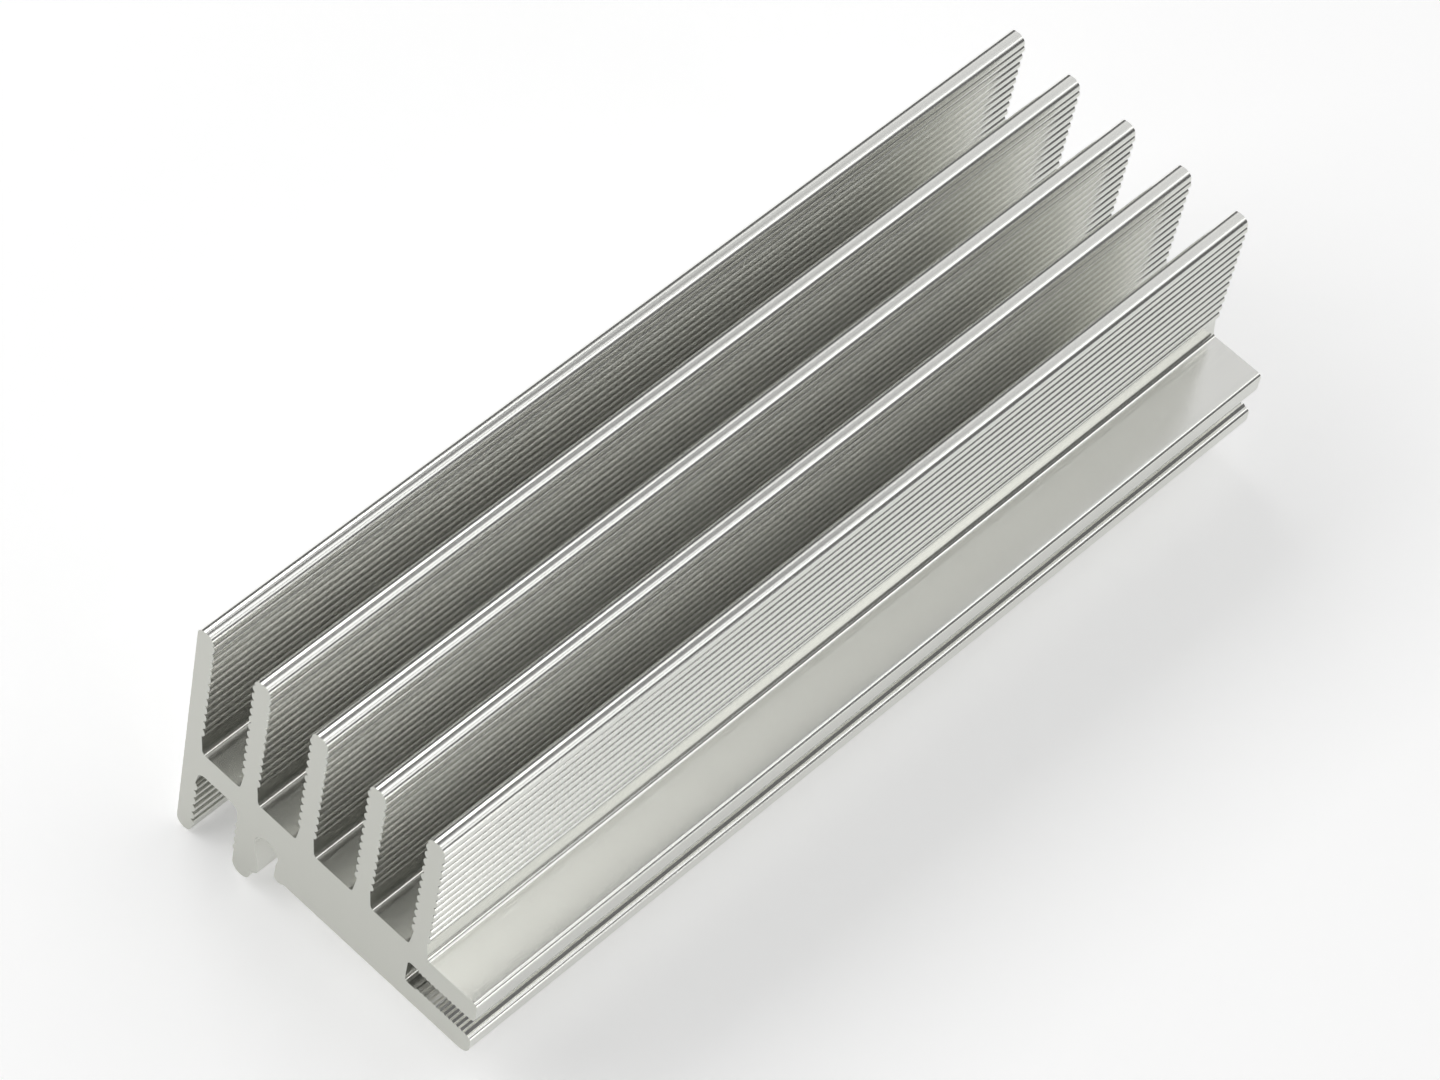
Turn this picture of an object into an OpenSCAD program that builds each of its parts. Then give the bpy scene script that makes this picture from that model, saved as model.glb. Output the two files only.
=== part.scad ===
// Extruded heat sink: a length cut from one aluminium bar.
// Five ribbed fins stand on a web and a thick base. Below the web hang a leg and a lug, with a clip slot
// between them. A round screw channel runs beside the lug, and a ribbed screw slot opens in the base's end.
// X runs across the section, Y along the bar and Z up. The origin is at the middle of the bottom.

/* [Bar] */
// Length that is cut from the bar
cut_length = 100; // [20:1:200]

/* [Fins] */
// Number of fins
fin_count = 5; // [3:1:8]
// Distance from one fin to the next
fin_pitch = 6.75; // [6:0.05:12]
// Height of a fin above the channel floor
fin_height = 16.6; // [10:0.1:40]
// Thickness of a fin, at mid height of its ribs
fin_thickness = 1.9; // [1.6:0.05:2.6]
// Radius of the two corners at a fin's tip
tip_radius = 0.85; // [0.2:0.05:0.95]
// Radius of the fillet between a fin and the channel floor
root_radius = 0.45; // [0.2:0.05:0.8]

/* [Ribs] */
// Distance from one rib to the next
rib_pitch = 1.12; // [0.9:0.02:1.3]
// Height of a rib above the groove beside it
rib_height = 0.3; // [0.15:0.01:0.4]
// Radius of a rib's round crest
rib_radius = 0.6; // [0.5:0.02:0.7]
// Distance from a fin's tip down to its first rib
tip_to_rib = 1.45; // [1.2:0.05:3]
// Least distance from the channel floor up to a fin's last rib
floor_to_rib = 2.7; // [1.5:0.05:5]

/* [Web] */
// Thickness of the web between the leg and the lug
web_thickness = 3.05; // [2:0.05:6]
// Radius of the two fillets under the web
web_radius = 0.85; // [0.3:0.05:1.5]

/* [Leg] */
// Length of the leg below the web
leg_length = 9.65; // [9.2:0.05:16]
// Thickness of the leg, at mid height of its ribs
leg_thickness = 1.8; // [1.6:0.05:3]
// Least distance from the leg's foot up to its last rib
foot_to_rib = 1.4; // [1.2:0.05:4]
// Distance from the web down to the first rib of the leg and of the lug
web_to_rib = 2.5; // [2.3:0.05:3]

/* [Lug] */
// Gap between the leg and the lug, at mid height of their ribs
clip_gap = 4.9; // [3:0.05:10]
// Distance from the web down to the lug's foot
lug_length = 8.95; // [8.3:0.05:9.5]
// Thickness of the lug's foot
lug_foot_thickness = 2.1; // [1.6:0.05:2.4]
// Wall between the lug's outer face and the screw channel
lug_wall = 2.3; // [1.5:0.05:4]
// Least distance from the lug's foot up to its last rib
lug_foot_to_rib = 2.9; // [1.8:0.05:4]
// Height of the lug's ribs
lug_rib_height = 0.16; // [0.08:0.02:0.3]
// Distance from the lug's foot up to the middle of its nose
nose_height = 2.5; // [1.8:0.05:3]
// Radius of the lug's nose
nose_radius = 0.45; // [0.2:0.05:0.6]
// Slope of the shoulder below the nose, from level
shoulder_slope = 37; // [20:1:60]

/* [Screw channel] */
// Diameter of the screw channel
channel_diameter = 2.75; // [2:0.05:3.2]
// Depth of the channel's top below the channel floors of the fins
channel_roof = 3.95; // [3.2:0.05:4.4]
// Width of the channel's mouth
mouth_width = 1.85; // [1.2:0.05:2]
// Inset of the mouth's base side from the channel's widest point
mouth_inset = 0.16; // [0.04:0.02:0.3]
// Radius of the bead beside the mouth
bead_radius = 0.6; // [0.4:0.05:1]
// Height of the bead below the base
bead_height = 0.35; // [0.1:0.05:0.35]

/* [Base] */
// Thickness of the base
base_thickness = 7.9; // [7:0.05:8.5]
// Distance from the last fin's middle to the base's end
base_overhang = 7; // [5:0.05:20]
// Radius of the base's upper corner and of the slot's two outer corners
end_radius = 0.5; // [0.2:0.05:1]
// Radius of the base's lower corner
heel_radius = 1.2; // [0.4:0.05:2]

/* [Side slot] */
// Depth of the slot from the base's end
slot_depth = 7.85; // [4:0.1:8.2]
// Gap between the tips of the slot's ribs
slot_gap = 2.35; // [1.8:0.05:3]
// Distance from one slot rib to the next, the pitch of the screw that it takes
thread_pitch = 0.5; // [0.4:0.05:0.8]
// Height of a slot rib
thread_height = 0.2; // [0.1:0.02:0.3]
// Length of the plain pocket at the slot's inner end
pocket_length = 1.3; // [0.8:0.1:2]
// Height of the pocket
pocket_height = 3; // [2.5:0.05:4]
// Radius of the pocket's inner corners
pocket_radius = 0.4; // [0.1:0.05:0.6]

/* [Hidden] */
$fn = 48;

// Lengthening of a piece into its neighbour, and of a cut past the outline
overlap = 0.4;

// Levels, from the foot of the leg up
web_z = leg_length;
floor_z = web_z + web_thickness;
base_z = floor_z - base_thickness;
lug_z = web_z - lug_length;

// Places across the section, from the outer face of the first fin
first_fin_x = fin_thickness / 2;
last_fin_x = first_fin_x + (fin_count - 1) * fin_pitch;
width = last_fin_x + base_overhang;
lug_x = leg_thickness + clip_gap;
channel_radius = channel_diameter / 2;
channel = [lug_x + lug_wall + channel_radius, floor_z - channel_roof - channel_radius];
mouth_right_x = channel.x + channel_radius - mouth_inset;
mouth_left_x = mouth_right_x - mouth_width;
bead_x = mouth_right_x + sqrt(pow(bead_radius, 2) - pow(bead_radius - bead_height, 2));
nose = [mouth_left_x - nose_radius, lug_z + nose_height];
slot_z = floor_z - base_thickness / 2;
slot_x = width - slot_depth;

// Number of ribs that fit in a row of this length
function ribs_in(length) = 1 + floor(length / rib_pitch);
fin_rib_count = ribs_in(fin_height - tip_to_rib - floor_to_rib);
leg_rib_count = ribs_in(leg_length - web_to_rib - foot_to_rib);
lug_rib_count = ribs_in(lug_length - web_to_rib - lug_foot_to_rib);
root_to_rib = fin_height - tip_to_rib - (fin_rib_count - 1) * rib_pitch;

// Depth of a fin's tip, down to the groove above its first rib, and the radius that fits on it
tip_depth = tip_to_rib - rib_pitch / 2;
tip_round = min(tip_radius, tip_depth, fin_thickness / 2);

// Ribs of the screw slot, between its pocket and its mouth
thread_length = slot_depth - pocket_length - end_radius;
thread_count = floor(thread_length / thread_pitch);

// Point where a line from a point outside touches the far side of a circle
function touch_point(centre, radius, from) =
    let (
        reach = from - centre,
        turn = atan2(reach.y, reach.x) - acos(radius / norm(reach))
    )
    centre + radius * [cos(turn), sin(turn)];

// Takes the sharp corner off a face whose round is centred at the origin and points to +X and +Y
module corner_cut(radius) {
    difference() {
        square(radius + overlap);
        circle(radius);
    }
}

// Fills the inner corner between the floor y = 0 and a wall that leans back as it rises from [0, 0]
module corner_fill(radius, lean) {
    centre_x = radius * (1 - sin(lean)) / cos(lean);
    difference() {
        polygon([
            [-overlap, -overlap],
            [centre_x, -overlap],
            [centre_x, radius],
            [centre_x - radius * cos(lean), radius * (1 - sin(lean))],
            [-overlap, radius * (1 - sin(lean))]
        ]);
        translate([centre_x, radius]) circle(radius);
    }
}

// The ribbed side of a plate that stands on y = 0 and lies at X below 0, the middle height of its ribs.
// From its root, as thick as the ribs, the plate thins to the first groove.
module ribbed_side(count, height, root_to_rib, root_radius) {
    groove_y = root_to_rib - rib_pitch / 2;
    for (i = [0 : count - 1])
        translate([height / 2 - rib_radius, root_to_rib + i * rib_pitch]) circle(rib_radius);
    polygon([
        [-height, -overlap],
        [height / 2, -overlap],
        [height / 2, 0],
        [-height / 2, groove_y],
        [-height, groove_y]
    ]);
    translate([height / 2, 0]) corner_fill(root_radius, atan(height / groove_y));
}

// One half of a fin, from its middle plane at x = 0 to its ribbed face, standing on y = 0
module ribbed_half() {
    half = fin_thickness / 2;
    groove_depth = rib_height / 2;
    translate([0, -overlap]) square([half - groove_depth, fin_height - tip_round + groove_depth + overlap]);
    difference() {
        translate([0, fin_height - tip_depth]) square([half, tip_depth]);
        translate([half - tip_round, fin_height - tip_round]) corner_cut(tip_round);
    }
    translate([half, 0]) ribbed_side(fin_rib_count, rib_height, root_to_rib, root_radius);
}

// One half of the first fin, from its middle plane to its plain outer face
module plain_half() {
    half = fin_thickness / 2;
    difference() {
        translate([0, -overlap]) square([half, fin_height + overlap]);
        translate([half - tip_round, fin_height - tip_round]) corner_cut(tip_round);
    }
}

// The row of fins on the web and the base
module fins() {
    for (i = [0 : fin_count - 1])
        translate([first_fin_x + i * fin_pitch, floor_z]) {
            ribbed_half();
            mirror([1, 0]) {
                if (i == 0) plain_half();
                else ribbed_half();
            }
        }
}

// The leg under the first fin, ribbed on the side that faces the lug, with a round foot
module leg() {
    foot_radius = leg_thickness / 2;
    translate([foot_radius, foot_radius]) circle(foot_radius);
    translate([0, foot_radius]) square([leg_thickness - rib_height / 2, web_z + overlap - foot_radius]);
    translate([leg_thickness, web_z]) mirror([0, 1])
        ribbed_side(leg_rib_count, rib_height, web_to_rib, web_radius);
}

// The lug beside the screw channel: a ribbed outer face, a narrow round foot and a nose at the mouth
module lug() {
    face_x = lug_x + lug_rib_height / 2;
    stem_x = face_x + lug_foot_thickness;
    foot_radius = lug_foot_thickness / 2;
    shoulder = nose + nose_radius * [sin(shoulder_slope), -cos(shoulder_slope)];
    shoulder_z = shoulder.y - (shoulder.x - stem_x) * tan(shoulder_slope);
    translate([face_x + foot_radius, lug_z + foot_radius]) circle(foot_radius);
    translate(nose) circle(nose_radius);
    polygon([
        [face_x, lug_z + foot_radius],
        [stem_x, lug_z + foot_radius],
        [stem_x, shoulder_z],
        shoulder,
        nose,
        [mouth_left_x, nose.y],
        [mouth_left_x, base_z + overlap],
        [stem_x, base_z + overlap],
        [stem_x, web_z + overlap],
        [face_x, web_z + overlap]
    ]);
    translate([lug_x, web_z]) rotate(180)
        ribbed_side(lug_rib_count, lug_rib_height, web_to_rib, web_radius);
}

// The web and the thick base, with the bead beside the channel's mouth
module web_and_base() {
    base_x = lug_x + overlap;
    translate([0, web_z]) square([base_x + overlap, web_thickness]);
    difference() {
        translate([base_x, base_z]) square([width - base_x, base_thickness]);
        translate([width - end_radius, floor_z - end_radius]) corner_cut(end_radius);
        translate([width - heel_radius, base_z + heel_radius]) mirror([0, 1]) corner_cut(heel_radius);
    }
    translate([bead_x, base_z - bead_height + bead_radius]) circle(bead_radius);
}

// The round channel for a screw in the cut end, and its mouth
module screw_channel() {
    rim = [mouth_left_x, nose.y + nose_radius];
    translate(channel) circle(channel_radius);
    polygon([
        channel,
        touch_point(channel, channel_radius, rim),
        rim,
        [rim.x, -overlap],
        [mouth_right_x, -overlap],
        [mouth_right_x, channel.y]
    ]);
}

// One ribbed side of the slot, as points from the pocket out to the last valley.
// It starts on a crest, or in a valley for a phase of 1, which puts its crests between the other side's.
function thread_points(phase) = [
    for (i = [0 : 2 * thread_count - 1 + phase])
        [
            slot_x + pocket_length + i * thread_pitch / 2,
            slot_gap / 2 + ((i + phase) % 2) * thread_height
        ]
];

// The slot in the base's end, with ribs that a screw cuts its thread in
module side_slot() {
    upper = thread_points(0);
    lower = thread_points(1);
    pocket_x = slot_x + pocket_length / 2;
    crest = slot_gap / 2;
    valley = crest + thread_height;
    translate([0, slot_z]) {
        difference() {
            translate([slot_x, -pocket_height / 2]) square([pocket_length, pocket_height]);
            for (side = [0, 1])
                mirror([0, side]) translate([slot_x + pocket_radius, pocket_height / 2 - pocket_radius])
                    mirror([1, 0]) corner_cut(pocket_radius);
        }
        polygon(concat(
            [[pocket_x, crest]],
            upper,
            [[width + overlap, valley]],
            [[width + overlap, -valley]],
            [for (i = [2 * thread_count : -1 : 0]) [lower[i].x, -lower[i].y]],
            [[pocket_x, -crest]]
        ));
        for (side = [0, 1])
            mirror([0, side]) translate([width - end_radius, valley + end_radius])
                mirror([0, 1]) corner_cut(end_radius);
    }
}

module section() {
    difference() {
        union() {
            web_and_base();
            fins();
            leg();
            lug();
        }
        screw_channel();
        side_slot();
    }
}

module heat_sink() {
    color([0.72, 0.73, 0.71])
        translate([-width / 2, 0, 0]) rotate([90, 0, 0]) linear_extrude(cut_length, center = true) section();
}

heat_sink();
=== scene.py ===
from math import pi

import bpy
from mathutils import Euler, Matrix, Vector

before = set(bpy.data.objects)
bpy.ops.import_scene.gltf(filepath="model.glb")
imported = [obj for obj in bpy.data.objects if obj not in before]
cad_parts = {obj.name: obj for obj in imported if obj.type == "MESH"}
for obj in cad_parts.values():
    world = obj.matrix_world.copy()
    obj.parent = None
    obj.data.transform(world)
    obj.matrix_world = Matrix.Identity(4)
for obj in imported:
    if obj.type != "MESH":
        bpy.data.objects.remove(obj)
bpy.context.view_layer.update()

# The heat sink: one length of extruded aluminium, bare as it left the die and a saw.
# The die draws fine lines along every face. The saw leaves each end flat and matt.
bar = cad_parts["heat_sink"]
bare_metal = (0.96, 0.96, 0.925, 1)
# The next colour is painted shade, put on faces that turn to +X
painted_shade_metal = (0.73, 0.735, 0.695, 1)
cut_metal = (0.64, 0.645, 0.6, 1)
die_line_scale = (4000, 8, 4000)
gloss_from, gloss_to = 0.16, 0.26
# Over this range of the normal's X, the painted shade fades in
painted_shade_from, painted_shade_to = 0.72, 0.9
saw_grain_scale = 5000.0
relief_depth = 0.00005
end_limit = 0.9

metal = bpy.data.materials.new("mill_aluminium")
metal.use_nodes = True
tree = metal.node_tree
tree.nodes.clear()


def node(kind, **inputs):
    made = tree.nodes.new(kind)
    for key, value in inputs.items():
        made.inputs[key.replace("_", " ")].default_value = value
    return made


def link(source, target):
    tree.links.new(source, target)


coords = node("ShaderNodeTexCoord")
output = node("ShaderNodeOutputMaterial")

# Drawn faces: noise stretched along the bar makes the die lines, as ridges and changes of gloss
drawn = node("ShaderNodeBsdfPrincipled", Metallic=1.0, Anisotropic=0.5)
along = node("ShaderNodeCombineXYZ", Y=1.0)
link(along.outputs["Vector"], drawn.inputs["Tangent"])
stretch = node("ShaderNodeMapping", Scale=die_line_scale)
link(coords.outputs["Object"], stretch.inputs["Vector"])
lines = node("ShaderNodeTexNoise", Scale=1.0, Detail=3.0, Roughness=0.6)
link(stretch.outputs["Vector"], lines.inputs["Vector"])
ridges = node("ShaderNodeBump", Strength=0.012, Distance=relief_depth)
link(lines.outputs["Fac"], ridges.inputs["Height"])
link(ridges.outputs["Normal"], drawn.inputs["Normal"])
gloss = node("ShaderNodeMapRange", To_Min=gloss_from, To_Max=gloss_to)
link(lines.outputs["Fac"], gloss.inputs["Value"])
link(gloss.outputs["Result"], drawn.inputs["Roughness"])

# Painted shade: upright faces and rib crests that face +X get a darker base colour than the rest,
# which deepens the dark stripes on the ribs.
# The Mix node holds its two colours in inputs 6 and 7, and gives the mixed colour in output 2.
facing = node("ShaderNodeSeparateXYZ")
link(coords.outputs["Normal"], facing.inputs["Vector"])
painted_shade_mask = node("ShaderNodeMapRange", From_Min=painted_shade_from, From_Max=painted_shade_to)
link(facing.outputs["X"], painted_shade_mask.inputs["Value"])
skin = node("ShaderNodeMix")
skin.data_type = "RGBA"
skin.inputs[6].default_value = bare_metal
skin.inputs[7].default_value = painted_shade_metal
link(painted_shade_mask.outputs["Result"], skin.inputs["Factor"])
link(skin.outputs[2], drawn.inputs["Base Color"])

# Cut ends: a darker colour with an even, fine grain
cut = node("ShaderNodeBsdfPrincipled", Base_Color=cut_metal, Metallic=1.0, Roughness=0.5)
grain = node("ShaderNodeTexNoise", Scale=saw_grain_scale, Detail=2.0)
link(coords.outputs["Object"], grain.inputs["Vector"])
pits = node("ShaderNodeBump", Strength=0.1, Distance=relief_depth)
link(grain.outputs["Fac"], pits.inputs["Height"])
link(pits.outputs["Normal"], cut.inputs["Normal"])

# An end is where the face looks straight along the bar
outward = node("ShaderNodeMath")
outward.operation = "ABSOLUTE"
link(facing.outputs["Y"], outward.inputs[0])
is_end = node("ShaderNodeMath")
is_end.operation = "GREATER_THAN"
is_end.inputs[1].default_value = end_limit
link(outward.outputs["Value"], is_end.inputs[0])
both = node("ShaderNodeMixShader")
link(is_end.outputs["Value"], both.inputs["Fac"])
link(drawn.outputs["BSDF"], both.inputs[1])
link(cut.outputs["BSDF"], both.inputs[2])
link(both.outputs["Shader"], output.inputs["Surface"])

for slot in bar.material_slots:
    slot.material = metal

# The table: a plain white sheet, large enough that no edge of it shows.
# A faint glow, only for the camera and for what the metal mirrors, lifts it towards white.
# It still takes the shadow under the bar.
table_size = 4.0
table_level = -0.0001
table_glow = 0.3
bpy.ops.mesh.primitive_plane_add(size=table_size, location=(0, 0, table_level))
table = bpy.context.object
table.name = "table"
sheet = bpy.data.materials.new("white_sheet")
sheet.use_nodes = True
tree = sheet.node_tree
tree.nodes.clear()
output = node("ShaderNodeOutputMaterial")
paper = node("ShaderNodeBsdfDiffuse", Color=(0.9, 0.9, 0.9, 1))
glow = node("ShaderNodeEmission")
path = node("ShaderNodeLightPath")
seen = path.outputs["Is Camera Ray"]
for other in ("Is Glossy Ray", "Is Transmission Ray"):
    either = node("ShaderNodeMath")
    either.operation = "MAXIMUM"
    link(seen, either.inputs[0])
    link(path.outputs[other], either.inputs[1])
    seen = either.outputs["Value"]
lift = node("ShaderNodeMath")
lift.operation = "MULTIPLY"
lift.inputs[1].default_value = table_glow
link(seen, lift.inputs[0])
link(lift.outputs["Value"], glow.inputs["Strength"])
total = node("ShaderNodeAddShader")
link(paper.outputs["BSDF"], total.inputs[0])
link(glow.outputs["Emission"], total.inputs[1])
link(total.outputs["Shader"], output.inputs["Surface"])
table.data.materials.append(sheet)

# The light: six soft boxes stand around and above the bar, and each is aimed at it.
# The room itself is white and dim, so that no side of the metal mirrors black.
room_colour = (1, 1, 1, 1)
room_strength = 0.1
world = bpy.data.worlds.new("room")
bpy.context.scene.world = world
world.use_nodes = True
background = world.node_tree.nodes["Background"]
background.inputs["Color"].default_value = room_colour
background.inputs["Strength"].default_value = room_strength


def soft_box(name, place, aim, size, radiance):
    light = bpy.data.lights.new(name, "AREA")
    light.shape = "RECTANGLE"
    light.size, light.size_y = size
    light.energy = radiance * pi * size[0] * size[1]
    holder = bpy.data.objects.new(name, light)
    bpy.context.scene.collection.objects.link(holder)
    holder.location = place
    holder.rotation_euler = (Vector(aim) - Vector(place)).to_track_quat("-Z", "Y").to_euler()


soft_box("left_box", (-0.308, 0.0, 0.394), (0, 0, 0), (0.4, 0.2), 3.0)
soft_box("front_box", (-0.264, -0.293, 0.308), (0, 0, 0), (0.3, 0.3), 2.4)
soft_box("top_box", (0.1, 0.07, 0.475), (0, 0, 0), (0.32, 0.24), 1.15)
soft_box("right_box", (0.489, 0.0, 0.104), (0, 0, 0), (0.35, 0.2), 2.9)
soft_box("back_box", (-0.013, 0.383, 0.321), (0, 0, 0), (0.8, 0.35), 0.6)
soft_box("rib_box", (0.267, 0.19, 0.37), (0, -0.03, 0.02), (0.3, 0.14), 0.9)

# The camera: a long lens, above the near end of the bar and to its right.
# It is far enough off that the fins stay nearly parallel in the view.
camera_data = bpy.data.cameras.new("camera")
camera_data.lens = 152.41
camera_data.sensor_width = 36
camera = bpy.data.objects.new("camera", camera_data)
bpy.context.scene.collection.objects.link(camera)
camera.location = (0.170482, -0.263274, 0.440668)
camera.rotation_euler = Euler((0.620690, -0.134328, 0.766681), "XYZ")
bpy.context.scene.camera = camera
bpy.context.scene.view_settings.view_transform = "Standard"
